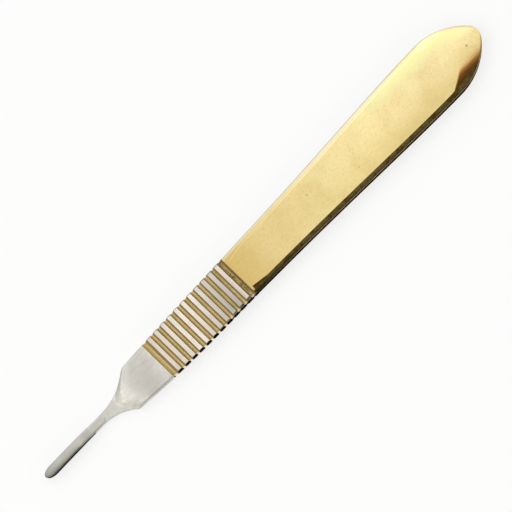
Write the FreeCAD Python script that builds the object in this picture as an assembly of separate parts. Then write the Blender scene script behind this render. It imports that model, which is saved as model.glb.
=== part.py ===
import FreeCAD, Part
import math
import os
from FreeCAD import Vector

# Scalpel handle, one piece of stainless steel, forged and ground. Millimetres.
# +X runs from the nose of the blade fitting to the tail, +Y is the side where a
# fitted blade has its cutting edge, -Y is the side of its spine, and +Z is the
# face that carries the blade fitting. Stations along X are measured from the
# nose, and the finished handle is centred on the origin at the very end.

# Overall size
length = 125.0
thickness = 3.0

# Tail: two flank arcs run from the widest station into a rounded end
tailHalfWidth = 6.7
flankRadius = 14.1
endRadius = 2.5

# Half widths of the grip, and how much of the widening from there to the widest
# station is reached at one and at two thirds of the way
gripFrontHalf = 4.54
gripRearHalf = 5.03
waistShare = 0.25
swellShare = 0.69

# Bevels along the gold body: width seen from above and drop of the side edge
bevelWidth = 1.05
bevelDrop = 0.4
bevelStartWidth = 1.6
bevelRunIn = 3.85

# Strip of full height between the last groove and the start of those bevels
edgeStrip = 0.55

# Crown ground over the tail, from a little before its widest station
crownRadius = 40.0
crownTilt = 4.6
crownLead = 1.2

# Grip: round-bottomed grooves across both faces, the end ones wider
gripStart = 32.5
grooveCount = 12
grooveWidth = 0.98
firstGrooveWidth = 1.4
lastGrooveWidth = 1.25
ribWidth = 1.0
grooveDepth = 0.38
sideNotch = 0.1
ribBevelWidth = 0.75
ribBevelLength = 14.0

# Heights of the front end above the back face
gripFrontHeight = 2.65
shoulderHeight = 2.3
seatHeight = 1.15
fittingHeight = 2.2
fittingBack = 0.35

# Shoulders of the bar where it narrows to the blade fitting
edgeShoulder = 26.2
edgeShoulderHalf = 4.37
edgeShoulderRadius = 2.5
spineShoulder = 22.9
spineShoulderHalf = 3.82
spineShoulderRadius = 0.4
edgeFlareStart = 16.6
spineFlareStart = 15.4

# Step between the blade seat and the face of the bar
stepPoint = 20.75
stepPointShift = 0.36
stepEdgeAngle = 40.0
stepSpineAngle = 58.0
stepPointRadius = 2.0
stepRun = 1.0

# Blade fitting: a raised boss with an undercut groove round its sides
noseLength = 2.2
noseHalfWidth = 1.03
neckHalfWidth = 0.96
fittingShift = 0.12
bossEnd = 16.9
bossEndLength = 1.6
rampStart = 10.5
rampEndHeight = 1.3
undercutHeight = 0.5
undercutDepth = 0.35
undercutEnd = 13.4
backRelief = 3.0

# Small edge radii
barEdgeRadius = 0.22
bossEdgeRadius = 0.3

# Derived lengths, stations and slopes
flankOffset = flankRadius - tailHalfWidth
tailLength = endRadius + math.sqrt((flankRadius - endRadius) ** 2 - flankOffset ** 2)
widest = length - tailLength
grooveSpan = firstGrooveWidth + lastGrooveWidth
grooveSpan += (grooveCount - 2) * grooveWidth + (grooveCount - 1) * ribWidth
gripEnd = gripStart + grooveSpan
bodyStart = gripEnd + edgeStrip
bodyThird = (widest - gripEnd) / 3.0
widening = tailHalfWidth - gripRearHalf
bevelSlope = bevelDrop / bevelWidth
rampSlope = (fittingHeight - rampEndHeight) / (bossEnd - rampStart)

# How far cutters reach past the surfaces that they cut, and a tight match
margin = 2.0
close = 0.001


def arcThrough(first, middle, last):
    return Part.Arc(first, middle, last).toShape()


def line(first, last):
    return Part.LineSegment(first, last).toShape()


def prism(points, direction):
    wire = Part.makePolygon(points + [points[0]])
    return Part.Face(wire).extrude(direction)


def slab(x1, x2, z1, z2):
    """Block across the whole width, between two stations and two heights."""
    wide = 2.0 * tailHalfWidth + 2.0 * margin
    corner = Vector(x1, -wide / 2.0, z1)
    return Part.makeBox(x2 - x1, wide, z2 - z1, corner)


def sideProfileCut(points):
    """Cut across the whole width from a profile drawn in X and Z."""
    half = tailHalfWidth + margin
    drawn = [Vector(x, -half, z) for x, z in points]
    return prism(drawn, Vector(0, 2.0 * half, 0))


def barEdge(side):
    """Long edge of the bar from its shoulder to the widest station."""
    shoulder = (edgeShoulder, edgeShoulderHalf) if side > 0 else (spineShoulder, spineShoulderHalf)
    stations = [
        shoulder,
        (gripStart, gripFrontHalf),
        (gripEnd, gripRearHalf),
        (gripEnd + bodyThird, gripRearHalf + waistShare * widening),
        (gripEnd + 2.0 * bodyThird, gripRearHalf + swellShare * widening),
        (widest, tailHalfWidth),
    ]
    points = [Vector(x, side * half, 0) for x, half in stations]
    shoulderTangent = points[1] - points[0]
    curve = Part.BSplineCurve()
    curve.interpolate(
        Points=points,
        InitialTangent=shoulderTangent.normalize(),
        FinalTangent=Vector(1, 0, 0),
    )
    return curve


def tailArcs(side):
    """Flank arc of one side, and the point where the end rounding takes over."""
    centre = Vector(widest, -side * flankOffset, 0)
    endCentre = Vector(length - endRadius, 0, 0)
    reach = (endCentre - centre).normalize()
    meet = centre + reach * flankRadius
    angle = math.atan2(reach.y * side, reach.x)
    half = (angle + math.pi / 2.0) / 2.0
    middle = centre + Vector(math.cos(half), side * math.sin(half), 0) * flankRadius
    start = Vector(widest, side * tailHalfWidth, 0)
    return arcThrough(start, middle, meet), meet


def flare(side, start, shoulder, shoulderHalf):
    """Concave arc that widens the neck to a shoulder, tangent to the neck."""
    low = side * fittingShift + neckHalfWidth
    rise = shoulderHalf - low
    run = shoulder - start
    radius = (run ** 2 + rise ** 2) / (2.0 * rise)
    turn = math.asin(run / radius)
    middle = Vector(start + radius * math.sin(turn / 2.0),
                    side * (low + radius * (1.0 - math.cos(turn / 2.0))), 0)
    return arcThrough(Vector(start, side * low, 0), middle,
                      Vector(shoulder, side * shoulderHalf, 0))


def noseArc():
    ellipse = Part.Ellipse(Vector(noseLength, fittingShift, 0), noseLength, noseHalfWidth)
    return Part.ArcOfEllipse(ellipse, math.pi / 2.0, 1.5 * math.pi).toShape()


def neckLine(side, end):
    first = Vector(noseLength, fittingShift + side * noseHalfWidth, 0)
    return line(first, Vector(end, fittingShift + side * neckHalfWidth, 0))


def outlineFace():
    """Plan of the whole handle."""
    endPoint = Vector(length, 0, 0)
    upperArc, upperMeet = tailArcs(1)
    lowerArc, lowerMeet = tailArcs(-1)
    edges = [
        noseArc(),
        neckLine(1, edgeFlareStart),
        flare(1, edgeFlareStart, edgeShoulder, edgeShoulderHalf),
        barEdge(1).toShape(),
        upperArc,
        arcThrough(upperMeet, endPoint, lowerMeet),
        lowerArc,
        barEdge(-1).toShape(),
        flare(-1, spineFlareStart, spineShoulder, spineShoulderHalf),
        neckLine(-1, spineFlareStart),
    ]
    return Part.Face(Part.Wire(Part.__sortEdges__(edges)))


def roundShoulders(blank):
    """Round the two upright corners of the shoulders."""
    corners = [
        (edgeShoulder, edgeShoulderHalf, edgeShoulderRadius),
        (spineShoulder, -spineShoulderHalf, spineShoulderRadius),
    ]
    for x, y, radius in corners:
        low = Vector(x, y, 0)
        upright = [e for e in blank.Edges if joins(e, low, low + Vector(0, 0, thickness))]
        blank = blank.makeFillet(radius, upright)
    return blank


def halfWidthAt(side, x):
    """Half width of the bar at a station behind the shoulders."""
    across = Part.LineSegment(Vector(x, 0, 0), Vector(x, side * (tailHalfWidth + margin), 0))
    point = barEdge(side).intersect(across)[0]
    return abs(point.Y)


def bevelBar(bar):
    """Bevel the long edges of the gold body, on both faces and round the tail."""
    rims = []
    for edge in bar.Edges:
        box = edge.BoundBox
        onTop = box.ZLength < close and abs(box.ZMin - thickness) < close
        if onTop and box.XLength > close:
            rims.append(edge)
    top = bar.makeChamfer(bevelDrop, bevelWidth, rims)
    return top.common(turnedOver(top))


def turnedOver(shape):
    """The same shape with its two faces exchanged."""
    return shape.mirror(Vector(0, 0, thickness / 2.0), Vector(0, 0, 1))


def bevelSection(side, x, width, height):
    """What a bevel of one width removes, drawn across the bar at one station."""
    half = halfWidthAt(side, x)
    low = height - bevelSlope * (width + margin)
    points = [
        Vector(x, side * (half - width), height),
        Vector(x, side * (half + margin), low),
        Vector(x, side * (half + margin), height + margin),
        Vector(x, side * (half - width), height + margin),
    ]
    return Part.makePolygon(points + [points[0]])


def taperedBevel(side, first, last):
    """Cutter for a straight bevel whose width changes between two stations."""
    sections = [bevelSection(side, x, width, height) for x, width, height in (first, last)]
    return Part.makeLoft(sections, True, True)


def crownCut():
    """What the grinding of the tail takes off the top face: it leaves a crown."""
    tilt = math.radians(crownTilt)
    edgeHalf = tailHalfWidth - bevelWidth
    rise = math.sqrt(crownRadius ** 2 - edgeHalf ** 2) / math.cos(tilt)
    axis = Vector(math.cos(tilt), 0, -math.sin(tilt))
    start = Vector(widest - crownLead, 0, thickness - rise) - axis * 2.0 * tailLength
    roll = Part.makeCylinder(crownRadius, 5.0 * tailLength, start, axis)
    front = widest - crownLead - margin
    return slab(front, length + margin, thickness / 2.0, thickness + margin).cut(roll)


def topHeight(x):
    """Height of the upper face in front of the gold body."""
    if x >= gripStart:
        part = (x - gripStart) / (gripEnd - gripStart)
        return gripFrontHeight + (thickness - gripFrontHeight) * part
    part = (x - stepPoint) / (gripStart - stepPoint)
    return shoulderHeight + (gripFrontHeight - shoulderHeight) * part


def frontTopCut():
    """Everything above the upper face of the grip and the shoulders."""
    high = thickness + margin
    return sideProfileCut([
        (gripEnd, thickness),
        (gripStart, gripFrontHeight),
        (stepPoint, shoulderHeight),
        (-margin, shoulderHeight),
        (-margin, high),
        (gripEnd, high),
    ])


def stepCut():
    """Room for the blade in front of the step, whose wall leans back."""
    edgeSlope = math.tan(math.radians(stepEdgeAngle))
    spineSlope = math.tan(math.radians(stepSpineAngle))
    wide = tailHalfWidth + margin
    foot = Vector(stepPoint - stepRun / 2.0, stepPointShift, seatHeight)
    points = [
        foot,
        foot + Vector(wide / edgeSlope, wide, 0),
        foot + Vector(-stepPoint - margin, wide, 0),
        foot + Vector(-stepPoint - margin, -wide, 0),
        foot + Vector(wide / spineSlope, -wide, 0),
    ]
    rise = thickness + margin - seatHeight
    lean = Vector(stepRun * rise / (shoulderHeight - seatHeight), 0, rise)
    block = prism(points, lean)
    point = [e for e in block.Edges if joins(e, foot, foot + lean)]
    return block.makeFillet(stepPointRadius, point)


def joins(edge, first, last):
    """True for an edge whose two ends are the two given points."""
    ends = [v.Point for v in edge.Vertexes]
    reach = [min(p.distanceToPoint(end) for end in ends) for p in (first, last)]
    return max(reach) < close


def bossPlan(inset, end):
    """Plan of the boss, drawn in from its sides by an inset."""
    nose = Part.Ellipse(Vector(noseLength, fittingShift, 0),
                        noseLength - inset, noseHalfWidth - inset)
    tail = Part.Ellipse(Vector(end - bossEndLength, fittingShift, 0),
                        bossEndLength - inset, neckHalfWidth - inset)
    edges = [
        Part.ArcOfEllipse(nose, math.pi / 2.0, 1.5 * math.pi).toShape(),
        Part.ArcOfEllipse(tail, -math.pi / 2.0, math.pi / 2.0).toShape(),
    ]
    for side in (1, -1):
        edges.append(line(
            Vector(noseLength, fittingShift + side * (noseHalfWidth - inset), 0),
            Vector(end - bossEndLength, fittingShift + side * (neckHalfWidth - inset), 0),
        ))
    return Part.Face(Part.Wire(Part.__sortEdges__(edges)))


def boss():
    """Raised part of the blade fitting, ramped at its rear, edges rounded."""
    body = bossPlan(0.0, bossEnd).extrude(Vector(0, 0, fittingHeight))
    body = body.cut(sideProfileCut([
        (rampStart, fittingHeight),
        (bossEnd + margin, fittingHeight - rampSlope * (bossEnd + margin - rampStart)),
        (bossEnd + margin, fittingHeight + margin),
        (rampStart, fittingHeight + margin),
    ]))
    rims = [e for e in body.Edges if e.BoundBox.ZMin > rampEndHeight - close]
    body = body.makeFillet(bossEdgeRadius, rims)
    return body.common(slab(-margin, bossEnd + margin, fittingBack, fittingHeight + margin))


def undercut():
    """Slot round the boss that holds the edges of a blade."""
    around = slab(-margin, undercutEnd, seatHeight, seatHeight + undercutHeight)
    core = bossPlan(undercutDepth, undercutEnd + 2.0 * margin)
    return around.cut(core.extrude(Vector(0, 0, thickness)))


def backReliefCut():
    """The blade fitting is thinner than the bar at its back."""
    return sideProfileCut([
        (-margin, -margin),
        (-margin, fittingBack),
        (spineShoulder - backRelief, fittingBack),
        (spineShoulder, 0.0),
        (spineShoulder, -margin),
    ])


def grooveStations():
    """Centre and width of each groove of the grip, from the front."""
    widths = [firstGrooveWidth] + [grooveWidth] * (grooveCount - 2) + [lastGrooveWidth]
    stations = []
    x = gripStart
    for width in widths:
        stations.append((x + width / 2.0, width))
        x += width + ribWidth
    return stations


def grooveCuts():
    """Round-nosed cutters across both faces and down both sides of the grip."""
    wide = tailHalfWidth + margin
    cuts = []
    for x, width in grooveStations():
        radius = (width ** 2 / 4.0 + grooveDepth ** 2) / (2.0 * grooveDepth)
        top = topHeight(x) - grooveDepth + radius
        bottom = grooveDepth - radius
        for height in (top, bottom):
            start = Vector(x, -wide, height)
            cuts.append(Part.makeCylinder(radius, 2.0 * wide, start, Vector(0, 1, 0)))
        for side in (1, -1):
            away = halfWidthAt(side, x) - sideNotch + radius
            start = Vector(x, side * away, -margin)
            cuts.append(Part.makeCylinder(radius, thickness + 2.0 * margin, start))
    return cuts


def rimEdges(bar):
    """Edges round the upper and the lower face of the front bar, and its step."""
    rims = []
    for edge in bar.Edges:
        middle = edge.valueAt((edge.FirstParameter + edge.LastParameter) / 2.0)
        across = edge.BoundBox.XLength < close
        upper = abs(middle.z - topHeight(middle.x)) < close and middle.x > stepPoint
        lower = abs(middle.z) < close and middle.x > spineShoulder
        if (upper or lower) and not across:
            rims.append(edge)
    return rims


def gripBar(blank):
    """Front of the bar: sloping faces, step, rounded edges, bevel on the last ribs."""
    front = blank.common(slab(-margin, bodyStart, -margin, thickness + margin))
    front = front.cut(frontTopCut()).cut(stepCut())
    front = front.makeFillet(barEdgeRadius, rimEdges(front))
    front = front.cut(backReliefCut())
    bevelStart = bodyStart - ribBevelLength
    last = (bodyStart, ribBevelWidth, thickness)
    cuts = []
    for side in (1, -1):
        cuts.append(taperedBevel(side, (bevelStart, 0.0, topHeight(bevelStart)), last))
        cuts.append(turnedOver(taperedBevel(side, (bevelStart, 0.0, thickness), last)))
    return front.cut(cuts)


def goldBar(blank):
    """Rear of the bar: bevelled edges, deeper where the bevels begin, and a crown."""
    rear = blank.common(slab(bodyStart, length + margin, -margin, thickness + margin))
    rear = bevelBar(rear)
    cuts = [crownCut()]
    for side in (1, -1):
        first = (bodyStart, bevelStartWidth, thickness)
        cuts.append(taperedBevel(side, first, (bodyStart + bevelRunIn, bevelWidth, thickness)))
    cuts += [turnedOver(cutter) for cutter in cuts]
    return rear.cut(cuts)


def build():
    blank = roundShoulders(outlineFace().extrude(Vector(0, 0, thickness)))
    bar = gripBar(blank).fuse([goldBar(blank), boss()]).removeSplitter()
    bar = bar.cut([undercut()] + grooveCuts())
    return bar


os.makedirs("parts", exist_ok=True)
handle = build()
handle.translate(Vector(-length / 2.0, 0, 0))
handle.exportStep("parts/handle.step")
print("handle", handle.isValid(), len(handle.Solids), round(handle.Volume, 1), handle.BoundBox)
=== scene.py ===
import math

import bpy
import bmesh
import numpy as np
from mathutils import Matrix, Vector


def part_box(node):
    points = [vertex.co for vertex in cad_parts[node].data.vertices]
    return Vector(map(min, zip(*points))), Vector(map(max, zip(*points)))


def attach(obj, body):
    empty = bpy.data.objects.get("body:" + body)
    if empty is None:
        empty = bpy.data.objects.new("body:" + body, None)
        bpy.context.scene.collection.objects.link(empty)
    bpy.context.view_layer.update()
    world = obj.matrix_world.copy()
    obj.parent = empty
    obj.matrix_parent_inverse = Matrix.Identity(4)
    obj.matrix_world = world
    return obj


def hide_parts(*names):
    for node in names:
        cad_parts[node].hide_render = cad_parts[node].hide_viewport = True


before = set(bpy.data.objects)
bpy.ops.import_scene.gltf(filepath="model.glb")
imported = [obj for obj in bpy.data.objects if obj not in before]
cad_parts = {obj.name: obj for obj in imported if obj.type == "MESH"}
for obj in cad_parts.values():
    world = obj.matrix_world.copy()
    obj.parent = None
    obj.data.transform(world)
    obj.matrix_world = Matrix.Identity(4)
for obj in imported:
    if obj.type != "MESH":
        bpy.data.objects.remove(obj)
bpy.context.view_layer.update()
low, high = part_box("handle")
print("frame loaded, handle is", [round(v * 1000, 2) for v in high - low], "mm")

# All lengths below are millimetres; x runs from the nose to the tail, starting at the nose
mm = 0.001
noseAt = low.x

# Shape of the handle. A name with Soft is how wide two surfaces blend where they meet
form = {
    "length": (high.x - low.x) / mm,
    "thickness": (high.z - low.z) / mm,
    "tailHalf": (high.y - low.y) / mm / 2,
    "flankRadius": 14.1,
    "endRadius": 2.5,
    "gripFrontHalf": 4.54,
    "gripRearHalf": 5.03,
    "waistShare": 0.25,
    "swellShare": 0.69,
    "bevelWidth": 1.05,
    "bevelStartWidth": 1.6,
    "bevelRunIn": 3.85,
    "bevelSlope": 0.381,
    "edgeStrip": 0.55,
    "crownRadius": 40.0,
    "crownTilt": 4.6,
    "crownLead": 1.2,
    "gripStart": 32.5,
    "grooveCount": 12,
    "grooveWidth": 0.98,
    "firstGrooveWidth": 1.4,
    "lastGrooveWidth": 1.25,
    "ribWidth": 1.0,
    "grooveDepth": 0.38,
    "sideNotch": 0.1,
    "ribBevelWidth": 0.75,
    "ribBevelLength": 14.0,
    "gripFrontHeight": 2.65,
    "shoulderHeight": 2.3,
    "seatHeight": 1.15,
    "backHeight": 0.35,
    "backRelief": 3.0,
    "stepPoint": 20.75,
    "stepShift": 0.36,
    "stepEdgeAngle": 40.0,
    "stepSpineAngle": 58.0,
    "stepRadius": 2.0,
    "stepRun": 1.0,
    "noseLength": 2.2,
    "noseHalf": 1.03,
    "neckHalf": 0.96,
    "fittingShift": 0.12,
    "bossTop": 2.2,
    "bossEnd": 16.9,
    "bossEndLength": 1.6,
    "rampStart": 10.5,
    "rampEndHeight": 1.18,
    "slotHeight": 0.5,
    "slotDepth": 0.35,
    "slotEnd": 13.4,
    "bossRounding": 0.3,
    "bodyCorner": 0.1,
    "gripCorner": 0.2,
    "frontCorner": 0.08,
    "cornerGrowth": 0.12,
    "cornerFrom": 20.0,
    "cornerTo": 22.0,
    "bevelSoft": 0.03,
    "crownSoft": 0.06,
    "grooveSoft": 0.05,
    "rampSoft": 0.05,
    "stepFootSoft": 0.7,
    "stepCrestSoft": 0.9,
}

# Shoulder of each side: station, half width, start of the flare, softness of the corner
shoulders = {
    1: {"at": 26.2, "half": 4.37, "flare": 16.6, "soft": 0.57},
    -1: {"at": 22.9, "half": 3.82, "flare": 15.4, "soft": 0.13},
}

flankOffset = form["flankRadius"] - form["tailHalf"]
tailReach = math.sqrt((form["flankRadius"] - form["endRadius"]) ** 2 - flankOffset ** 2)
widest = form["length"] - form["endRadius"] - tailReach
grooves = []
station = form["gripStart"]
for index in range(form["grooveCount"]):
    width = form["grooveWidth"]
    if index == 0:
        width = form["firstGrooveWidth"]
    if index == form["grooveCount"] - 1:
        width = form["lastGrooveWidth"]
    radius = (width ** 2 / 4 + form["grooveDepth"] ** 2) / (2 * form["grooveDepth"])
    grooves.append({"at": station + width / 2, "width": width, "radius": radius})
    station += width + form["ribWidth"]
gripEnd = station - form["ribWidth"]
bodyStart = gripEnd + form["edgeStrip"]


def softMax(a, b, soft):
    # larger of two heights, with the corner between them rounded
    part = max(soft - abs(a - b), 0) / soft
    return max(a, b) + part * part * soft / 4


def softMin(a, b, soft):
    return -softMax(-a, -b, soft)


def clampedSpline(points, startSlope, endSlope):
    # smooth line through a few stations, with the slopes at both ends given
    x = np.array([p[0] for p in points])
    y = np.array([p[1] for p in points])
    gap = np.diff(x)
    slopes = np.concatenate([[startSlope], np.diff(y) / gap, [endSlope]])
    count = len(points)
    system = np.zeros((count, count))
    for i in range(count):
        if i > 0:
            system[i, i - 1] = gap[i - 1]
            system[i, i] += 2 * gap[i - 1]
        if i < count - 1:
            system[i, i + 1] = gap[i]
            system[i, i] += 2 * gap[i]
    bend = np.linalg.solve(system, 6 * np.diff(slopes))

    def heightAt(u):
        i = int(min(max(np.searchsorted(x, u) - 1, 0), count - 2))
        if u < x[0]:
            return y[0] + startSlope * (u - x[0])
        before, after = x[i + 1] - u, u - x[i]
        value = (bend[i] * before ** 3 + bend[i + 1] * after ** 3) / (6 * gap[i])
        value += (y[i] / gap[i] - bend[i] * gap[i] / 6) * before
        return value + (y[i + 1] / gap[i] - bend[i + 1] * gap[i] / 6) * after

    return heightAt


def barEdgeOf(side):
    shoulder = shoulders[side]
    widening = form["tailHalf"] - form["gripRearHalf"]
    third = (widest - gripEnd) / 3
    points = [
        (shoulder["at"], shoulder["half"]),
        (form["gripStart"], form["gripFrontHalf"]),
        (gripEnd, form["gripRearHalf"]),
        (gripEnd + third, form["gripRearHalf"] + form["waistShare"] * widening),
        (gripEnd + 2 * third, form["gripRearHalf"] + form["swellShare"] * widening),
        (widest, form["tailHalf"]),
    ]
    slope = (points[1][1] - points[0][1]) / (points[1][0] - points[0][0])
    return clampedSpline(points, slope, 0)


barEdge = {side: barEdgeOf(side) for side in (1, -1)}


def neckHalfAt(u):
    part = (u - form["noseLength"]) / (shoulders[1]["flare"] - form["noseLength"])
    return form["noseHalf"] + (form["neckHalf"] - form["noseHalf"]) * min(part, 1)


def sideNotchAt(u):
    # the grooves run on round the sides of the grip, a little less deep
    notch = 0
    for groove in grooves:
        reach = groove["radius"] ** 2 - (u - groove["at"]) ** 2
        if reach > 0:
            notch = max(notch, math.sqrt(reach) - groove["radius"] + form["sideNotch"])
    return notch


def outlineAt(side, u):
    # distance of the side wall from the long axis, in front of the widest station
    shoulder = shoulders[side]
    neck = side * form["fittingShift"] + neckHalfAt(u)
    if u <= shoulder["flare"]:
        return neck
    lowHalf = side * form["fittingShift"] + form["neckHalf"]
    rise = shoulder["half"] - lowHalf
    run = shoulder["at"] - shoulder["flare"]
    radius = (run ** 2 + rise ** 2) / (2 * rise)
    inside = min((u - shoulder["flare"]) / radius, 0.999)
    flare = lowHalf + radius * (1 - math.sqrt(1 - inside ** 2))
    return softMin(flare, barEdge[side](u), shoulder["soft"]) - sideNotchAt(u)


def faceHeight(u):
    # height of the upper face, which slopes down from the gold body to the step
    if u >= gripEnd:
        return form["thickness"]
    if u >= form["gripStart"]:
        part = (u - form["gripStart"]) / (gripEnd - form["gripStart"])
        return form["gripFrontHeight"] + (form["thickness"] - form["gripFrontHeight"]) * part
    part = (u - form["stepPoint"]) / (form["gripStart"] - form["stepPoint"])
    return form["shoulderHeight"] + (form["gripFrontHeight"] - form["shoulderHeight"]) * part


def bevelWidthAt(u):
    if u >= bodyStart:
        part = min((u - bodyStart) / form["bevelRunIn"], 1)
        return form["bevelStartWidth"] + (form["bevelWidth"] - form["bevelStartWidth"]) * part
    part = (u - bodyStart + form["ribBevelLength"]) / form["ribBevelLength"]
    return form["ribBevelWidth"] * max(part, 0)


def crownDepth(u, y):
    start = widest - form["crownLead"]
    if u < start - 1:
        return -1
    tilt = math.radians(form["crownTilt"])
    edge = form["tailHalf"] - form["bevelWidth"]
    roll = math.sqrt(form["crownRadius"] ** 2 - y ** 2)
    roll -= math.sqrt(form["crownRadius"] ** 2 - edge ** 2)
    return (u - start) * math.tan(tilt) - roll / math.cos(tilt)


def grooveDepthAt(u):
    depth = -1
    for groove in grooves:
        reach = groove["radius"] ** 2 - (u - groove["at"]) ** 2
        if reach > 0:
            depth = max(depth, math.sqrt(reach) - groove["radius"] + form["grooveDepth"])
    return depth


def workedDepth(u, y, inward):
    # how far bevel, crown and grooves lie below the flat of a face
    width = bevelWidthAt(u)
    depth = 0
    if width > 0:
        depth = softMax(0, form["bevelSlope"] * (width - inward), form["bevelSoft"])
    depth = softMax(depth, crownDepth(u, y), form["crownSoft"])
    return softMax(depth, grooveDepthAt(u), form["grooveSoft"])


def stepFoot(y):
    # station of the foot of the step: two straight runs and a round point
    atX = form["stepPoint"] - form["stepRun"] / 2
    atY = y - form["stepShift"]
    edge = math.radians(form["stepEdgeAngle"])
    spine = math.radians(form["stepSpineAngle"])
    half = (edge + spine) / 2
    reach = form["stepRadius"] / math.tan(half)
    if atY > reach * math.sin(edge):
        return atX + atY / math.tan(edge)
    if atY < -reach * math.sin(spine):
        return atX - atY / math.tan(spine)
    away = form["stepRadius"] / math.sin(half)
    turn = (edge - spine) / 2
    centreX, centreY = away * math.cos(turn), away * math.sin(turn)
    return atX + centreX - math.sqrt(form["stepRadius"] ** 2 - (atY - centreY) ** 2)


def topAt(u, y, inward):
    top = faceHeight(u) - workedDepth(u, y, inward)
    if u > form["gripStart"] - 3:
        return top
    climb = (form["shoulderHeight"] - form["seatHeight"]) / form["stepRun"]
    wall = form["seatHeight"] + (u - stepFoot(y)) * climb
    return softMin(top, softMax(form["seatHeight"], wall, form["stepFootSoft"]), form["stepCrestSoft"])


def bottomAt(u, y, inward):
    shoulder = shoulders[-1]["at"]
    relief = form["backHeight"] * min((shoulder - u) / form["backRelief"], 1)
    if u > shoulder:
        relief = 0
    if u > bodyStart - 20:
        relief = softMax(relief, workedDepth(u, y, inward), form["bevelSoft"])
    return relief


def cornerAt(u):
    # rounding of the upper and lower corners of the bar
    if u > bodyStart:
        return form["bodyCorner"]
    if u > form["cornerTo"]:
        return form["gripCorner"]
    part = (u - form["cornerFrom"]) / (form["cornerTo"] - form["cornerFrom"])
    return form["frontCorner"] + form["cornerGrowth"] * max(part, 0)


def buildRings():
    # the mesh is a row of rings, each a line from the side walls to the middle
    rings = []
    shift = form["fittingShift"]

    def ring(kind, u, centre, walls, outers=None):
        rings.append({"kind": kind, "u": u, "centre": centre, "walls": walls, "outers": outers or walls})

    noseSteps = 14
    for i in range(noseSteps):
        angle = math.pi - i * math.pi / 2 / noseSteps
        walls = {}
        for side in (1, -1):
            x = form["noseLength"] * (1 + math.cos(angle))
            walls[side] = (x, shift + side * form["noseHalf"] * math.sin(angle))
        ring("slot", walls[1][0], (form["noseLength"], shift), walls)
    bossFan = form["bossEnd"] - form["bossEndLength"]

    def neckRing(kind, u):
        walls, outers = {}, {}
        for side in (1, -1):
            outers[side] = (u, side * outlineAt(side, u))
            half = min(neckHalfAt(u), side * (outers[side][1] - shift))
            walls[side] = (u, shift + side * half)
        ring(kind, u, (u, shift), walls, outers)

    for u in np.linspace(form["noseLength"], form["slotEnd"], 30):
        neckRing("slot", float(u))
    for u in np.linspace(form["slotEnd"], bossFan, 3)[:-1]:
        neckRing("boss", float(u))
    fanSteps = 12
    for i in range(fanSteps + 1):
        angle = math.pi / 2 * (1 - i / fanSteps)
        x = bossFan + form["bossEndLength"] * math.cos(angle)
        walls, outers = {}, {}
        for side in (1, -1):
            half = neckHalfAt(x) * math.sin(angle)
            walls[side] = (x, shift + side * half)
            outers[side] = (x, side * outlineAt(side, x))
        ring("boss", x, (bossFan, shift), walls, outers)

    def barRing(kind, u):
        fade = min(max((u - form["bossEnd"]) / 3, 0), 1)
        walls = {side: (u, side * outlineAt(side, u)) for side in (1, -1)}
        ring(kind, u, (u, shift * (1 - fade)), walls)

    barRing("seam", form["bossEnd"])
    stations = list(np.arange(form["bossEnd"] + 0.08, 19.9, 0.22))
    stations += list(np.arange(19.9, 27.0, 0.08))
    stations += list(np.arange(27.0, form["gripStart"] - 0.4, 0.35))
    shares = [-1.25, -1.12, -1.06, -1.0, -0.96, -0.88, -0.76, -0.6, -0.4, -0.2, 0]
    shares += [-share for share in shares[-2::-1]]
    for groove in grooves:
        stations += [groove["at"] + share * groove["width"] / 2 for share in shares]
        after = groove["at"] + groove["width"] / 2 + form["ribWidth"] / 2
        if after < gripEnd:
            stations += [after - 0.15, after, after + 0.15]
    stations += [bodyStart + step for step in (-0.3, -0.16, -0.05, -0.01, 0.01, 0.05, 0.16)]
    stations += list(np.arange(bodyStart + 0.35, bodyStart + form["bevelRunIn"], 0.35))
    stations += list(np.arange(bodyStart + form["bevelRunIn"], widest - 1.6, 0.9))
    stations += list(np.arange(widest - 1.6, widest - 0.05, 0.2))
    for u in sorted(stations):
        barRing("bar", float(u))

    meet = math.atan2(flankOffset, tailReach)
    flankSteps = 38
    for i in range(flankSteps):
        angle = math.pi / 2 + (meet - math.pi / 2) * i / flankSteps
        x = widest + form["flankRadius"] * math.cos(angle)
        y = form["flankRadius"] * math.sin(angle) - flankOffset
        centreX = widest + flankOffset / math.tan(angle)
        ring("bar", x, (centreX, 0), {side: (x, side * y) for side in (1, -1)})
    endSteps = 12
    for i in range(endSteps + 1):
        angle = meet * (1 - i / endSteps)
        centreX = form["length"] - form["endRadius"]
        x = centreX + form["endRadius"] * math.cos(angle)
        y = form["endRadius"] * math.sin(angle)
        ring("bar", x, (centreX, 0), {side: (x, side * y) for side in (1, -1)})
    return rings


bottomShares = [1, 0.82, 0.66, 0.52, 0.42, 0.34, 0.28, 0.24, 0.21, 0.18, 0.15, 0.12, 0.09, 0.06, 0.03]
edgeShares = [0.035 * i for i in range(1, 19)] + [0.7, 0.8, 0.9, 1]
middleShares = [i / 9 for i in range(1, 10)]
cornerSteps = 4
roundSteps = 5


def between(a, b, part):
    return a + (b - a) * part


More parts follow.
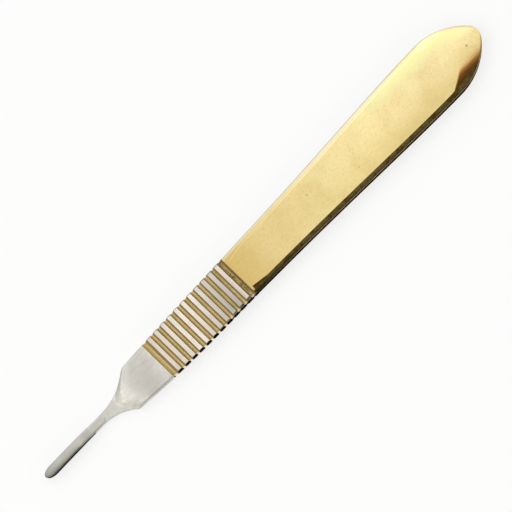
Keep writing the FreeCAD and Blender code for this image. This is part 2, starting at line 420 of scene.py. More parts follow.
def ringSide(ring, side):
    # points of one half of a ring, from the middle of the back round to the middle of the top
    outer, wall, centre = ring["outers"][side], ring["walls"][side], ring["centre"]
    kind = ring["kind"]
    backCentre = centre if kind in ("slot", "bar") else (outer[0], centre[1])
    half = math.dist(outer, backCentre)
    corner = min(cornerAt(ring["u"]), 0.45 * half)
    points = []

    def backPoint(inward, lift=0.0, at=None):
        part = inward / half if half > 0 else 0
        x = between(outer[0], backCentre[0], part)
        y = between(outer[1], backCentre[1], part)
        points.append((x, y, bottomAt(x, y, at if at is not None else inward) + lift))

    for share in bottomShares:
        backPoint(corner + (half - corner) * share)
    for i in range(cornerSteps):
        turn = math.pi / 2 * i / cornerSteps
        backPoint(corner * (1 - math.sin(turn)), corner * (1 - math.cos(turn)))

    seatWidth = math.dist(outer, wall)
    onFitting = kind in ("slot", "boss")
    if onFitting:
        topEdge = form["seatHeight"]
        boundary = seatWidth + (form["slotDepth"] if kind == "slot" else 0)
    else:
        topEdge = topAt(outer[0], outer[1], 0)
        boundary = min(3.0, 0.6 * half) if kind == "bar" else half
    lowEdge = bottomAt(outer[0], outer[1], 0) + corner
    topCorner = min(corner, 0.3 * boundary)
    for part in (0, 0.33, 0.67, 1):
        points.append((outer[0], outer[1], between(lowEdge, topEdge - topCorner, part)))

    reach = math.dist(wall, centre)

    def onTop(inward, drop=0.0):
        # a point on the seat or the face, measured in from the side wall
        if onFitting:
            if inward <= seatWidth:
                part = inward / seatWidth if seatWidth > 0 else 0
                return (between(outer[0], wall[0], part), between(outer[1], wall[1], part),
                        form["seatHeight"] - drop)
            return towardsCentre(inward - seatWidth, form["seatHeight"])
        part = inward / half if half > 0 else 0
        x, y = between(outer[0], centre[0], part), between(outer[1], centre[1], part)
        return (x, y, topAt(x, y, inward) - drop)

    def towardsCentre(inward, z):
        part = min(inward / reach, 1) if reach > 0 else 0
        return (between(wall[0], centre[0], part), between(wall[1], centre[1], part), z)

    for i in range(1, cornerSteps + 1):
        turn = math.pi / 2 * i / cornerSteps
        points.append(onTop(topCorner * (1 - math.cos(turn)), topCorner * (1 - math.sin(turn))))
    for share in edgeShares:
        points.append(onTop(topCorner + (boundary - topCorner) * share))
    seam = len(points)

    if onFitting:
        points += fittingWall(ring, towardsCentre, reach)
    elif kind == "bar":
        points += [points[-1]] * (4 + roundSteps + 1)
        for share in middleShares:
            points.append(onTop(boundary + (half - boundary) * share))
    return points, seam


def fittingWall(ring, towardsCentre, reach):
    # slot, side wall, rounded rim and top of the boss
    u = ring["walls"][1][0]
    slope = (form["bossTop"] - form["rampEndHeight"]) / (form["bossEnd"] - form["rampStart"])

    def bossHeight(x):
        return form["bossTop"] - softMax(0, (x - form["rampStart"]) * slope, form["rampSoft"])

    top = bossHeight(u)
    seat = form["seatHeight"]
    rounding = min(form["bossRounding"], 0.9 * reach, top - seat) if reach > 0 else 0
    ceiling = seat + form["slotHeight"]
    slot = min(form["slotDepth"], reach)
    if ring["kind"] == "boss":
        slot = 0
        ceiling = between(seat, top, form["slotHeight"] / (bossHeight(form["slotEnd"]) - seat))

    def rimInset(z):
        over = max(z - (top - form["bossRounding"]), 0) / form["bossRounding"]
        return rounding * (1 - math.sqrt(max(1 - over ** 2, 0)))

    points = []
    for part in (0.33, 0.67, 1):
        z = between(seat, ceiling, part)
        points.append(towardsCentre(slot if slot > 0 else rimInset(z), z))
    points.append(towardsCentre(rimInset(ceiling), ceiling))
    start = max(ceiling, top - form["bossRounding"])
    points.append(towardsCentre(rimInset(start), start))
    first = math.asin(max(start - top + form["bossRounding"], 0) / form["bossRounding"])
    for i in range(1, roundSteps + 1):
        turn = between(first, math.pi / 2, i / roundSteps)
        z = top - form["bossRounding"] * (1 - math.sin(turn))
        points.append(towardsCentre(rounding * (1 - math.cos(turn)), z))
    for share in middleShares:
        x, y, z = towardsCentre(between(rounding, reach, share), top)
        points.append((x, y, bossHeight(x)))
    return points


def buildHandle():
    rings = buildRings()
    mesh = bmesh.new()
    rows = []
    for ring in rings:
        sides = {}
        for side in (1, -1):
            points, seam = ringSide(ring, side)
            verts = [mesh.verts.new(((noseAt / mm + x) * mm, y * mm, z * mm)) for x, y, z in points]
            sides[side] = verts
        rows.append({"kind": ring["kind"], "sides": sides, "seam": seam})
    for here, after in zip(rows, rows[1:]):
        if here["kind"] == "boss" and after["kind"] == "seam":
            continue
        count = len(here["sides"][1])
        if here["kind"] == "seam":
            for side, verts in here["sides"].items():
                verts += [verts[-1]] * (len(after["sides"][side]) - len(verts))
            count = len(after["sides"][1])
        for side in (1, -1):
            a, b = here["sides"][side], after["sides"][side]
            for i in range(count - 1):
                quad = [a[i], a[i + 1], b[i + 1], b[i]]
                if side < 0:
                    quad.reverse()
                corners = list(dict.fromkeys(quad))
                if len(corners) > 2:
                    mesh.faces.new(corners)
    bmesh.ops.remove_doubles(mesh, verts=mesh.verts, dist=0.0004 * mm)
    bmesh.ops.dissolve_degenerate(mesh, edges=mesh.edges, dist=0.0002 * mm)
    bmesh.ops.recalc_face_normals(mesh, faces=mesh.faces)
    openEdges = [e for e in mesh.edges if not e.is_manifold]
    volume = round(mesh.calc_volume(signed=True) / mm ** 3, 1)
    print("handle mesh:", len(mesh.verts), "points,", len(mesh.faces), "faces,",
          len(openEdges), "open edges,", volume, "mm3")
    data = bpy.data.meshes.new("scalpelHandle")
    mesh.to_mesh(data)
    mesh.free()
    handle = bpy.data.objects.new("scalpelHandle", data)
    bpy.context.scene.collection.objects.link(handle)
    for polygon in data.polygons:
        polygon.use_smooth = True
    data.set_sharp_from_angle(angle=math.radians(38))
    return handle


handle = buildHandle()


def markSurface(data):
    # three numbers on every point, in millimetres, for the materials: how deep it lies in a groove,
    # how far it is from the outline, and how far behind the foot of the step
    count = len(data.vertices)
    depth, edge, behind = np.zeros(count), np.zeros(count), np.zeros(count)
    for i, vertex in enumerate(data.vertices):
        u, y = (vertex.co.x - noseAt) / mm, vertex.co.y / mm
        side = 1 if y > 0 else -1
        depth[i] = max(grooveDepthAt(u), 0)
        behind[i] = u - stepFoot(y) if u < form["gripStart"] else form["length"]
        if u < widest:
            edge[i] = outlineAt(side, max(u, form["noseLength"])) - abs(y)
        else:
            endX = u - form["length"] + form["endRadius"]
            atEnd = math.atan2(abs(y), endX) < math.atan2(flankOffset, tailReach)
            edge[i] = form["flankRadius"] - math.hypot(u - widest, abs(y) + flankOffset)
            if atEnd:
                edge[i] = form["endRadius"] - math.hypot(endX, y)
    for name, values in (("grooveDepth", depth), ("edgeDistance", edge), ("stepDistance", behind)):
        data.attributes.new(name, "FLOAT", "POINT").data.foreach_set("value", values.astype(np.float32))


markSurface(handle.data)
print("surface marks: groove depth, edge distance and step distance")


def colour(code):
    # sRGB hex to linear
    parts = [int(code[i:i + 2], 16) / 255 for i in (1, 3, 5)]
    return [p / 12.92 if p <= 0.04045 else ((p + 0.055) / 1.055) ** 2.4 for p in parts] + [1]


def addNode(tree, kind, inputs=None, **settings):
    node = tree.nodes.new(kind)
    for name, value in settings.items():
        setattr(node, name, value)
    for name, value in (inputs or {}).items():
        if isinstance(value, bpy.types.NodeSocket):
            tree.links.new(value, node.inputs[name])
        else:
            node.inputs[name].default_value = value
    return node


def colourRamp(tree, value, stops):
    # colours along a ramp, as (place, colour) pairs
    ramp = addNode(tree, "ShaderNodeValToRGB", {"Fac": value})
    elements = ramp.color_ramp.elements
    while len(elements) < len(stops):
        elements.new(0.5)
    for element, (place, code) in zip(elements, stops):
        element.position = place
        element.color = colour(code)
    return ramp.outputs["Color"]


def mapRange(tree, value, fromMin, fromMax, toMin=0.0, toMax=1.0, smooth=False):
    return addNode(tree, "ShaderNodeMapRange", {
        "Value": value, "From Min": fromMin, "From Max": fromMax, "To Min": toMin, "To Max": toMax},
        interpolation_type="SMOOTHSTEP" if smooth else "LINEAR").outputs[0]


def combine(tree, operation, *values, **settings):
    node = addNode(tree, "ShaderNodeMath", dict(enumerate(values)), operation=operation, **settings)
    return node.outputs[0]


def product(tree, first, *others):
    for other in others:
        first = combine(tree, "MULTIPLY", first, other)
    return first


def mixColour(tree, share, first, second):
    # either colour may be a socket or a hex code
    first, second = [colour(c) if isinstance(c, str) else c for c in (first, second)]
    return addNode(tree, "ShaderNodeMix", {0: share, 6: first, 7: second}, data_type="RGBA").outputs[2]


def noise(tree, place, scale, detail, roughness=0.5, distortion=0.0):
    return addNode(tree, "ShaderNodeTexNoise", {
        "Vector": place, "Scale": scale, "Detail": detail, "Roughness": roughness,
        "Distortion": distortion}).outputs["Fac"]


def newMaterial(name):
    material = bpy.data.materials.new(name)
    material.use_nodes = True
    material.node_tree.nodes.clear()
    handle.data.materials.append(material)
    return material.node_tree


def surfaceMark(tree, name):
    return addNode(tree, "ShaderNodeAttribute", attribute_name=name).outputs["Fac"]


def facingTail(tree):
    # the normal's share along the handle: more than 0 where a face looks towards the tail
    normal = addNode(tree, "ShaderNodeTexCoord").outputs["Normal"]
    return addNode(tree, "ShaderNodeSeparateXYZ", {"Vector": normal}).outputs["X"]


def stretchPlace(tree, place, scales):
    return addNode(tree, "ShaderNodeVectorMath", {0: place, 1: scales}, operation="MULTIPLY").outputs[0]


def bumpNode(tree, height, strength, distance):
    return addNode(tree, "ShaderNodeBump", {
        "Height": height, "Strength": strength, "Distance": distance * mm}).outputs["Normal"]


def metalSurface(tree, values):
    surface = addNode(tree, "ShaderNodeBsdfPrincipled", values)
    addNode(tree, "ShaderNodeOutputMaterial", {"Surface": surface.outputs["BSDF"]})


# Places in the materials are millimetres from the nose and from the long axis
def placeNodes(tree):
    where = addNode(tree, "ShaderNodeTexCoord").outputs["Object"]
    place = addNode(tree, "ShaderNodeVectorMath", {
        0: where, 1: (1 / mm, 1 / mm, 1 / mm), 2: (-noseAt / mm, 0, 0)}, operation="MULTIPLY_ADD")
    parts = addNode(tree, "ShaderNodeSeparateXYZ", {"Vector": place.outputs[0]})
    return place.outputs[0], parts.outputs


# Each mask is (from, to) or (from, to, low, high): it rises or falls from low to high between the two

# Gold plating on polished stainless steel: a thin even layer over a buffed face, so it mirrors softly.
# It is deeper towards the grip and cloudy from buffing, with painted highlights along its upper edge,
# painted shade along its lower side and lower corner, and a grey line on the corner of its upper side
goldPlate = {
    "fromGrip": [(0.0, "#D9BD75"), (0.06, "#DEC37F"), (0.12, "#E7D091"), (0.3, "#EFDC9D"),
                 (0.55, "#FDE8A9"), (0.8, "#FFEDB2"), (1.0, "#FDE6A8")],
    "cloud": "#CCAF62",
    "cloudWidth": 6.0,
    "cloudMask": (0.44, 0.72, 0, 0.34),
    "blush": "#FBDCA2",
    "blushMask": (0.5, 0.75, 0, 0.25),
    "grain": "#C4A455",
    "grainSize": 0.6,
    "grainMask": (0.48, 0.75, 0, 0.3),
    "lowerShade": "#CFB465",
    "lowerShadeAlong": (75.0, 98.0),
    "shadeAcross": (0.5, -4.5, 0, 0.5),
    "highlight": "#FFFAB4",
    "highlightOuter": (0.25, 0.6),
    "highlightInner": (4.8, 1.0),
    "highlightAlong": (86.0, 110.0),
    "upperSide": (0.2, 1.5),
    "lowerSide": (0.0, -1.0),
    "bevelHighlight": "#FFF8DC",
    "bevelHighlightMask": (form["bevelWidth"] + 0.15, form["bevelWidth"] - 0.3, 0, 0.55),
    "bevelHighlightAlong": (gripEnd + 6, gripEnd + 30),
    "cornerHighlight": (0.8, 0.2, 0, 0.5),
    "bevelHighlightTail": (widest - 12, widest - 2, 1, 0.2),
    "bevelShade": "#75603A",
    "bevelMask": (form["bevelWidth"] + 0.12, form["bevelWidth"] - 0.1),
    "bevelShadePatch": 1.3,
    "bevelShadeMask": (0.4, 0.64, 0, 0.75),
    "tailFade": (widest + 2, widest + 6, 1, 0),
    "filmMetallic": 0.6,
    "lowerEdgeShade": "#1A160C",
    "lowerEdgeShadeMask": (0.85, 0.1, 0, 0.85),
    "lowerEdgeShadeAlong": (gripEnd + 1, gripEnd + 16, 1, 0.35),
    "upperCornerGrey": "#B4AE9E",
    "upperCornerMask": (0.2, 0.05),
    "pit": "#7E6A3A",
    "pitShare": 0.6,
    "pitSinks": -6.0,
    "pits": ((77.3, 1.4, 0.3), (121.1, -0.85, 0.36), (88.6, -2.3, 0.18), (66.4, 3.1, 0.16)),
    "roughness": (0.35, 0.7, 0.07, 0.13),
    "buffing": (0.08, 1 / 0.3, 1 / 0.3),
    "relief": 0.004,
}


def goldMaterial():
    plate = goldPlate
    tree = newMaterial("goldPlatedPolishedStainless")
    place, parts = placeNodes(tree)
    edge = surfaceMark(tree, "edgeDistance")
    along = mapRange(tree, parts["X"], gripEnd, form["length"])
    base = colourRamp(tree, along, plate["fromGrip"])
    # clouds of the buffing, several millimetres wide, in two tones
    cloud = noise(tree, place, 1 / plate["cloudWidth"], 4.0, roughness=0.6, distortion=0.4)
    toned = mixColour(tree, mapRange(tree, cloud, *plate["cloudMask"]), base, plate["cloud"])
    blush = noise(tree, place, 0.7 / plate["cloudWidth"], 2.0)
    toned = mixColour(tree, mapRange(tree, blush, *plate["blushMask"]), toned, plate["blush"])
    # fine uneven grain of the plating
    grain = noise(tree, place, 1 / plate["grainSize"], 3.0, roughness=0.7)
    toned = mixColour(tree, mapRange(tree, grain, *plate["grainMask"]), toned, plate["grain"])
    # painted shade: deeper colour along the lower side of the wide part
    wide = mapRange(tree, parts["X"], *plate["lowerShadeAlong"])
    lowerShade = product(tree, mapRange(tree, parts["Y"], *plate["shadeAcross"]), wide)
    toned = mixColour(tree, lowerShade, toned, plate["lowerShade"])
    # painted highlight: a paler band just inside the edge that faces the lamp, growing towards the tail
    outer = mapRange(tree, edge, *plate["highlightOuter"], smooth=True)
    inner = mapRange(tree, edge, *plate["highlightInner"], smooth=True)
    reach = mapRange(tree, parts["X"], *plate["highlightAlong"], smooth=True)
    upper = mapRange(tree, parts["Y"], *plate["upperSide"])
    highlightBand = product(tree, outer, inner, reach, upper)
    toned = mixColour(tree, highlightBand, toned, plate["highlight"])
    # painted highlight: the upper bevel and the corner of the upper side are near white
    highlit = mapRange(tree, edge, *plate["bevelHighlightMask"], smooth=True)
    wearAndHighlight = mapRange(tree, parts["X"], *plate["bevelHighlightAlong"])
    corner = mapRange(tree, edge, *plate["cornerHighlight"])
    onTail = mapRange(tree, parts["X"], *plate["bevelHighlightTail"])
    highlit = combine(tree, "MAXIMUM", product(tree, highlit, wearAndHighlight), corner)
    toned = mixColour(tree, product(tree, highlit, onTail, upper), toned, plate["bevelHighlight"])
    # painted shade in patches on the lower bevel, which also lowers its metallic
    bevel = mapRange(tree, edge, *plate["bevelMask"], smooth=True)
    patch = noise(tree, place, 1 / plate["bevelShadePatch"], 4.0, roughness=0.62)
    patchy = mapRange(tree, patch, *plate["bevelShadeMask"])
    lower = mapRange(tree, parts["Y"], *plate["lowerSide"])
    beforeTail = mapRange(tree, parts["X"], *plate["tailFade"])
    shadedBevel = product(tree, bevel, patchy, lower, beforeTail)
    toned = mixColour(tree, shadedBevel, toned, plate["bevelShade"])
    # painted shade: near black along the lower corner, most of it beside the grip
    low = mapRange(tree, edge, *plate["lowerEdgeShadeMask"], smooth=True)
    nearGrip = mapRange(tree, parts["X"], *plate["lowerEdgeShadeAlong"])
    toned = mixColour(tree, product(tree, low, lower, nearGrip, beforeTail), toned, plate["lowerEdgeShade"])
    # a grey line along the corner of the upper side
    upperCorner = mapRange(tree, edge, *plate["upperCornerMask"])
    toned = mixColour(tree, product(tree, upperCorner, upper), toned, plate["upperCornerGrey"])
    # small pits in the face
    pitMask = None
    for x, y, radius in plate["pits"]:
        z = form["thickness"] - max(crownDepth(x, y), 0)
        away = addNode(tree, "ShaderNodeVectorMath", {0: place, 1: (x, y, z)}, operation="DISTANCE")
        pit = mapRange(tree, away.outputs["Value"], radius, radius * 0.35, smooth=True)
        if pitMask is not None:
            pit = combine(tree, "MAXIMUM", pitMask, pit)
        pitMask = pit
    toned = mixColour(tree, product(tree, pitMask, plate["pitShare"]), toned, plate["pit"])
    rough = mapRange(tree, cloud, *plate["roughness"])
    # buffing lines run along the handle; real ones are some 0.02 mm apart, drawn coarser to show
    lines = noise(tree, stretchPlace(tree, place, plate["buffing"]), 1.0, 3.0)
    relief = combine(tree, "MULTIPLY_ADD", pitMask, plate["pitSinks"], lines)
    bump = bumpNode(tree, relief, 0.5, plate["relief"])
    metallic = mapRange(tree, shadedBevel, 0.0, 1.0, 1.0, plate["filmMetallic"])
    metalSurface(tree, {"Base Color": toned, "Metallic": metallic, "Roughness": rough, "Normal": bump})


# The side wall under the last four grooves is bare of plating and gets the same painted shade as the rest
# of the wall
bareFrom = grooves[-4]["at"] - 1.0
lastStart = grooves[-1]["at"] - 0.6 * form["lastGrooveWidth"]

# The same plating left unbuffed in the grooves, with painted shade along both walls and flecks of grime
grooveGold = {
    "tones": [(0.34, "#C9A974"), (0.5, "#D2B980"), (0.66, "#B8A868")],
    "grimeAndShade": "#6A552C",
    "stain": "#9A7E48",
    "stainedGrimeAndShade": "#463206",
    "notchHighlight": "#FFF1C8",
    "roughness": (0, 1, 0.46, 0.6),
    "metallic": (0, 1, 1, 0.1),
    "toneStretch": (0.7, 0.2, 0.2),
    "wallReach": (0.1, -0.1, 0.22, 0.4),
    "wallFade": 0.09,
    "wallShare": 0.76,
    "firstGrooveFront": (form["gripStart"] + 0.3, form["gripStart"] + 0.8, 0.1, 1),
    "fleck": 0.4,
    "fleckMask": (0.5, 0.62),
    "stainMask": (lastStart, lastStart + 0.3, 0, 0.5),
    "notchHighlightReach": (bareFrom, bareFrom + 0.2, 0.24, 0.7),
    "notchHighlightSide": (0.0, -1.0),
    "bareNotchTop": 2.2,
    "relief": 0.01,
    "grimy": [(0.0, "#6C6C6C"), (0.16, "#6C6C6C"), (0.2, "#B4B4B4"), (0.3, "#A0A0A0"), (0.36, "#686868"),
              (0.86, "#686868"), (0.93, "#FFFFFF"), (1.0, "#FFFFFF")],
}


def grooveMaterial():
    groove = grooveGold
    tree = newMaterial("goldPlatedGrooves")
    place, parts = placeNodes(tree)
    depth = surfaceMark(tree, "grooveDepth")
    edge = surfaceMark(tree, "edgeDistance")
    # tone changes from groove to groove and slowly along each
    tone = noise(tree, stretchPlace(tree, place, groove["toneStretch"]), 1.0, 3.0)
    toned = colourRamp(tree, tone, groove["tones"])
    # painted shade on the walls, reaching deeper down the rear wall than down the front one
    facing = facingTail(tree)
    reach = mapRange(tree, facing, *groove["wallReach"])
    inner = combine(tree, "SUBTRACT", reach, groove["wallFade"])
    walls = mapRange(tree, depth, reach, inner, toMax=groove["wallShare"], smooth=True)
    # the first groove runs out into the steel in front of it without the painted shade
    walls = product(tree, walls, mapRange(tree, parts["X"], *groove["firstGrooveFront"]))
    # flecks of dried grime, most in the last groove and in the third and fourth
    grimy = mapRange(tree, parts["X"], form["gripStart"], gripEnd)
    grimy = colourRamp(tree, grimy, groove["grimy"])
    speck = noise(tree, place, 1 / groove["fleck"], 3.0, roughness=0.7)
    flecks = product(tree, mapRange(tree, speck, *groove["fleckMask"]), grimy)
    dark = combine(tree, "MAXIMUM", walls, flecks)
    stained = mapRange(tree, parts["X"], *groove["stainMask"])
    toned = mixColour(tree, stained, toned, groove["stain"])
    grimeAndShade = mixColour(tree, stained, groove["grimeAndShade"], groove["stainedGrimeAndShade"])
    # one dark colour: painted shade on the walls and grime in the flecks
    toned = mixColour(tree, dark, toned, grimeAndShade)
    metallic = mapRange(tree, dark, *groove["metallic"])
    rough = mapRange(tree, dark, *groove["roughness"])
    # painted highlight where the groove runs out over the lower side, further in on the last four
    ends = mapRange(tree, edge, mapRange(tree, parts["X"], *groove["notchHighlightReach"]), 0.0)
    ends = combine(tree, "SUBTRACT", ends, dark, use_clamp=True)
    ends = product(tree, ends, mapRange(tree, parts["Y"], *groove["notchHighlightSide"]))
    toned = mixColour(tree, ends, toned, groove["notchHighlight"])
    bump = bumpNode(tree, speck, 0.4, groove["relief"])
    metalSurface(tree, {"Base Color": toned, "Metallic": metallic, "Roughness": rough, "Normal": bump})


# Ribs: stainless ground flat after plating and lightly polished by use, a warm near white that is duller on
# the ribs beside the body, with painted shade on the lower side of the rear ribs
ribSteel = {
    "colours": [(0.1, "#CFC5B5"), (0.18, "#D2C9BA"), (0.27, "#D8D0C2"), (0.35, "#E1DBCC"),
                (0.44, "#E4DBCF"), (0.52, "#DFD7CA"), (0.61, "#E7E0D4"), (0.69, "#D3CDC2"),
                (0.78, "#BFBDB2"), (0.86, "#CBC3BC"), (0.95, "#DFD5C3")],
    "dull": "#B8B0A6",
    "shades": [(0.42, "#FFFFFF"), (0.6, "#D7D7D7"), (0.9, "#D7D7D7"), (0.94, "#FFFFFF")],
    "wearAndHighlight": 1.0,
    "stepLightUpper": 1.0,
    "stepLightLower": 1.0,
    "crestHighlight": 0.0,
    "frontShade": 1.0,
    "matt": 0.0,
    "roughness": (0.26, 0.36),
    "grindGap": 0.3,
    "dullPatch": 2.6,
}

# Front and blade fitting: stainless with a fine satin finish, greyer, brushed by handling, with painted
# shade and painted highlights on its slopes, its lower side and the front of the fitting
frontSteel = {
    "colours": [(0.0, "#7C7C76"), (0.03, "#A2A29B"), (0.12, "#BEBEB6"), (0.42, "#C6C6BE"),
                (0.6, "#CFCEC6"), (0.67, "#D8D6CC"), (0.76, "#C6C4BD"), (0.86, "#BCBAB3"),
                (0.94, "#C4C2BD"), (1.0, "#D6D4CF")],
    "dull": "#A9A59C",
    "shades": [(0.0, "#E2E2E2"), (1.0, "#FFFFFF")],
    "wearAndHighlight": 1.22,
    "stepLightUpper": 0.9,
    "stepLightLower": 1.27,
    "crestHighlight": 0.18,
    "frontShade": 0.3,
    "matt": 0.2,
    "roughness": (0.36, 0.46),
    "grindGap": 0.35,
    "dullPatch": 3.5,
}


# Painted shade and painted highlights on the steel, and where use has dulled it, on the ribs and on the
# front alike
steelWearAndShade = {
    "shadeAcross": (3.5, -3.5),
    "tailHighlightFacing": (0.03, 0.13),
    "noseFacing": (-0.05, -0.3),
    "stepAcross": (0.6, -0.6),
    "crestHighlightStart": (1.2, 2.1),
    "crestHighlightEnd": (4.6, 2.5),
    "fittingFront": (10.0, 8.2),
    "lowerRim": (0.35, -0.9),
    "dullMask": (0.42, 0.72, 0, 0.5),
    "streakMask": (0.35, 0.7, 0, 0.3),
    "linesRough": (0.3, 0.7),
    "relief": 0.006,
}


def steelMaterial(name, steel, start, end, grind):
    wearAndShade = steelWearAndShade
    tree = newMaterial(name)
    place, parts = placeNodes(tree)
    along = mapRange(tree, parts["X"], start, end)
    base = colourRamp(tree, along, steel["colours"])
    # painted shade: darker towards the lower side, by the shades ramp along the piece
    shade = colourRamp(tree, along, steel["shades"])
    across = mapRange(tree, parts["Y"], *wearAndShade["shadeAcross"], 1.0, shade)
    # painted highlight on slopes that face the tail; slopes that face the nose get painted shade on their
    # upper side and a painted highlight on their lower side, and are left matt from grinding
    facing = facingTail(tree)
    wearAndHighlight = mapRange(tree, facing, *wearAndShade["tailHighlightFacing"], 1.0, steel["wearAndHighlight"])
    stepShade = mapRange(tree, parts["Y"], *wearAndShade["stepAcross"], steel["stepLightUpper"], steel["stepLightLower"])
    noseSlopeLight = mapRange(tree, facing, *wearAndShade["noseFacing"], 1.0, stepShade)
    # painted highlight on the face just behind the crest of the step
    behind = surfaceMark(tree, "stepDistance")
    crestHighlight = mapRange(tree, behind, *wearAndShade["crestHighlightStart"], toMax=steel["crestHighlight"], smooth=True)
    crestHighlightEnd = mapRange(tree, behind, *wearAndShade["crestHighlightEnd"], smooth=True)
    crestHighlight = combine(tree, "MULTIPLY_ADD", crestHighlight, crestHighlightEnd, 1.0)
    # painted shade: the front of the fitting is darkest, most along its lower rim
    front = mapRange(tree, parts["X"], *wearAndShade["fittingFront"], 1.0, steel["frontShade"])
    rim = mapRange(tree, parts["Y"], *wearAndShade["lowerRim"], 1.0, front)
    shade = product(tree, across, rim, wearAndHighlight, noseSlopeLight, crestHighlight)
    shaded = addNode(tree, "ShaderNodeVectorMath", {"Vector": base, "Scale": shade}, operation="SCALE")
    patches = noise(tree, place, 1 / steel["dullPatch"], 4.0, roughness=0.6)
    dull = mapRange(tree, patches, *wearAndShade["dullMask"])
    toned = mixColour(tree, dull, shaded.outputs[0], steel["dull"])
    # grinding lines; the real ones are about 0.03 mm apart, drawn coarser to show
    lines = noise(tree, stretchPlace(tree, place, grind), 1 / steel["grindGap"], 4.0, roughness=0.65)
    toned = mixColour(tree, mapRange(tree, lines, *wearAndShade["streakMask"]), toned, steel["dull"])
    rough = mapRange(tree, lines, *wearAndShade["linesRough"], *steel["roughness"])
    matt = mapRange(tree, facing, *wearAndShade["noseFacing"], toMax=steel["matt"])
    rough = combine(tree, "ADD", rough, matt)
    bump = bumpNode(tree, lines, 0.35, wearAndShade["relief"])
    metalSurface(tree, {"Base Color": toned, "Metallic": 1.0, "Roughness": rough, "Normal": bump})


# Side walls and blade slot: never polished, coloured with painted shade that is
# near black beside the ribs and the slot, brown under the gold, grey at the shoulders, with rubbed patches
shadedSides = {
    "fromNose": [(0.0, "#222220"), (0.06, "#282826"), (0.1, "#5A5852"), (0.14, "#B0ADA4"),
                 (0.255, "#B8B4AA"), (0.262, "#1C1812"), (0.45, "#1A160E"), (0.52, "#2A2210"),
                 (1.0, "#302710")],
    "wearAndHighlight": "#5E5330",
    "rubbedMask": (0.5, 0.72, 0, 0.35),
    "grazingShade": "#40392A",
    "roughness": 0.42,
    "patch": 1.3,
}


def sideMaterial():
    side = shadedSides
    tree = newMaterial("paintedShadeSteelSides")
    place, parts = placeNodes(tree)
    along = mapRange(tree, parts["X"], 0.0, form["length"])
    base = colourRamp(tree, along, side["fromNose"])
    patches = noise(tree, place, 1 / side["patch"], 4.0, roughness=0.6)
    toned = mixColour(tree, mapRange(tree, patches, *side["rubbedMask"]), base, side["wearAndHighlight"])
    # the dark specular tint is painted shade in the grazing reflection
    metalSurface(tree, {"Base Color": toned, "Metallic": 1.0, "Roughness": side["roughness"],
                        "Specular Tint": colour(side["grazingShade"])})


goldMaterial()
grooveMaterial()
steelMaterial("groundStainlessRibs", ribSteel, form["gripStart"], gripEnd, (1.0, 0.08, 0.08))
steelMaterial("satinStainlessFront", frontSteel, 0.0, form["gripStart"], (0.15, 1.0, 1.0))
sideMaterial()


# Material slots, in the order in which the materials were added
onGold, inGroove, onRib, onFront, onSide = range(5)


def onGrooveRim(u):
    return any(abs(u - groove["at"]) < 0.56 * groove["width"] for groove in grooves)


def materialFor(polygon):
    u, y, z = [v / mm for v in polygon.center]
    u -= noseAt / mm
    normal = polygon.normal
    onGrip = form["gripStart"] < u < gripEnd
    upright = abs(normal.z) < (0.85 if onGrip else 0.5) and (abs(normal.y) > 0.5 or u > widest)
    onBossEnd = z > form["seatHeight"] and form["slotEnd"] < u < form["bossEnd"] + 0.1
    if upright and not onBossEnd:
        if sideNotchAt(u) > 0.02 and (u < bareFrom or z > grooveGold["bareNotchTop"]):
            return inGroove
        return onFront if form["slotEnd"] + 0.1 < u < form["gripStart"] else onSide
    if onGrooveRim(u) or grooveDepthAt(u) > 0:
        return inGroove
    if u > gripEnd:
        return onGold
    return onRib if u > form["gripStart"] else onFront


for polygon in handle.data.polygons:
    polygon.material_index = materialFor(polygon)
print("materials:", [m.name for m in handle.data.materials])

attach(handle, "root")
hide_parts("handle")


# Floor, light and camera. The handle fills the frame corner to corner, seen from almost straight above
studio = {
    "lens": 250.0,
    "frameWidth": 102.96,
    "tilt": 9.5,
    "turn": 46.1,
    "aim": (-1.15, 0.54, 1.5),
    "floor": "#FFFFFF",
    "floorSize": 3.0,
    "floorRoughness": 0.8,
    "floorGlow": 0.75,
}


def buildFloor():
    size = studio["floorSize"]
    mesh = bpy.data.meshes.new("floor")
    below = -0.05 * mm
    corners = [(-size, -size, below), (size, -size, below), (size, size, below), (-size, size, below)]
    mesh.from_pydata(corners, [], [(0, 1, 2, 3)])
    floor = bpy.data.objects.new("floor", mesh)
    bpy.context.scene.collection.objects.link(floor)
    material = bpy.data.materials.new("whitePaper")
    material.use_nodes = True
    tree = material.node_tree
    tree.nodes.clear()
    paper = addNode(tree, "ShaderNodeBsdfPrincipled", {
        "Base Color": colour(studio["floor"]), "Roughness": studio["floorRoughness"]})
    glow = addNode(tree, "ShaderNodeEmission", {"Color": (1, 1, 1, 1), "Strength": 1.0})
    # three quarters of the paper's white is even, the last quarter keeps the shadow of the handle
    rays = addNode(tree, "ShaderNodeLightPath").outputs
    seen = combine(tree, "ADD", rays["Is Camera Ray"], rays["Is Glossy Ray"])
    seen = combine(tree, "ADD", seen, rays["Is Transmission Ray"])
    share = combine(tree, "MULTIPLY", seen, studio["floorGlow"])
    mixed = addNode(tree, "ShaderNodeMixShader", {0: share, 1: paper.outputs[0], 2: glow.outputs[0]})
    addNode(tree, "ShaderNodeOutputMaterial", {"Surface": mixed.outputs[0]})
    mesh.materials.append(material)


# A wide white ceiling over the table, and a dark warm cloth hung along the handle's lower side, which the
# lower bevel and one flank of the tail mirror. Places are tangents: how far out from straight overhead,
# along the handle and across it
sky = {
    "ends": 0.8,
    "endsFrom": 0.9,
    "endsTo": 1.8,
    "cloth": [(0.0, "#FFFFFF"), (0.08, "#F0C896"), (0.18, "#A06638"), (0.32, "#6A4628"), (0.55, "#4A3C28"),
              (1.0, "#4E462E")],
    "clothNear": -0.06,
    "clothFade": 0.2,
    "clothFar": -1.05,
    "clothReach": 0.8,
    "tailCloth": 0.07,
    "bright": 1.25,
    "brightFrom": 0.42,
    "brightTo": 0.52,
    "brightEnd": 0.9,
}
lamp = {"place": (-0.75, 0.2, 0.75), "size": 1.8, "power": 6.0}


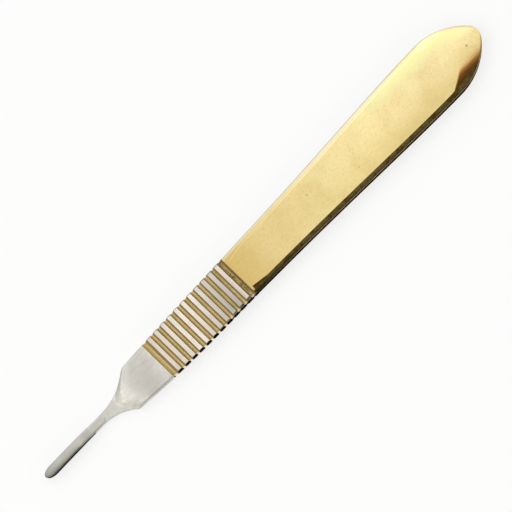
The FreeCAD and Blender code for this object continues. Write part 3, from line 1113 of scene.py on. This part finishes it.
def buildWorld():
    world = bpy.data.worlds.new("studio")
    bpy.context.scene.world = world
    world.use_nodes = True
    tree = world.node_tree
    tree.nodes.clear()
    direction = addNode(tree, "ShaderNodeTexCoord").outputs["Generated"]
    parts = addNode(tree, "ShaderNodeSeparateXYZ", {"Vector": direction}).outputs
    height = combine(tree, "MAXIMUM", parts["Z"], 0.02)
    along = combine(tree, "DIVIDE", parts["X"], height)
    across = combine(tree, "DIVIDE", parts["Y"], height)
    aside = combine(tree, "ABSOLUTE", along)
    ceiling = mapRange(tree, aside, sky["endsFrom"], sky["endsTo"], 1.0, sky["ends"], smooth=True)
    # brighter strip that the upper flank of the tail mirrors
    strip = mapRange(tree, across, sky["brightFrom"], sky["brightTo"], toMax=sky["bright"] - 1, smooth=True)
    stripEnd = mapRange(tree, across, sky["brightEnd"] + 0.2, sky["brightEnd"])
    strip = combine(tree, "MULTIPLY_ADD", strip, stripEnd, 1.0)
    ceiling = combine(tree, "MULTIPLY", ceiling, strip)
    # the cloth hangs a little further in over the tail
    shift = mapRange(tree, along, 0.05, 0.14, toMax=sky["tailCloth"], smooth=True)
    beside = combine(tree, "SUBTRACT", across, shift)
    cloth = mapRange(tree, beside, sky["clothNear"], sky["clothNear"] - sky["clothFade"])
    clothEnd = mapRange(tree, across, sky["clothFar"] - 0.25, sky["clothFar"], smooth=True)
    clothSides = mapRange(tree, aside, sky["clothReach"] + 0.4, sky["clothReach"], smooth=True)
    cloth = combine(tree, "MULTIPLY", cloth, clothEnd)
    cloth = combine(tree, "MULTIPLY", cloth, clothSides)
    tint = colourRamp(tree, cloth, sky["cloth"])
    background = addNode(tree, "ShaderNodeBackground", {"Color": tint, "Strength": ceiling})
    addNode(tree, "ShaderNodeOutputWorld", {"Surface": background.outputs["Background"]})


def buildLamp():
    light = bpy.data.lights.new("softLamp", "AREA")
    light.shape = "DISK"
    light.size = lamp["size"]
    light.energy = lamp["power"]
    holder = bpy.data.objects.new("softLamp", light)
    bpy.context.scene.collection.objects.link(holder)
    holder.location = lamp["place"]
    holder.rotation_euler = (-Vector(lamp["place"])).to_track_quat("-Z", "Y").to_euler()


def buildCamera():
    camera = bpy.data.cameras.new("camera")
    camera.lens = studio["lens"]
    camera.sensor_width = 36.0
    camera.clip_start = 0.01
    camera.clip_end = 20
    eye = bpy.data.objects.new("camera", camera)
    bpy.context.scene.collection.objects.link(eye)
    tilt, turn = math.radians(studio["tilt"]), math.radians(studio["turn"])
    back = Vector((0, -math.sin(tilt), math.cos(tilt)))
    across = Vector((0, math.cos(tilt), math.sin(tilt)))
    along = Vector((1, 0, 0))
    right = along * math.cos(turn) - across * math.sin(turn)
    up = along * math.sin(turn) + across * math.cos(turn)
    distance = studio["frameWidth"] * mm * studio["lens"] / camera.sensor_width
    place = Matrix((right, up, back)).transposed().to_4x4()
    place.translation = Vector(studio["aim"]) * mm + back * distance
    eye.matrix_world = place
    bpy.context.scene.camera = eye


buildFloor()
buildWorld()
buildLamp()
buildCamera()
bpy.context.scene.view_settings.view_transform = "Standard"
print("floor, light and camera ready")
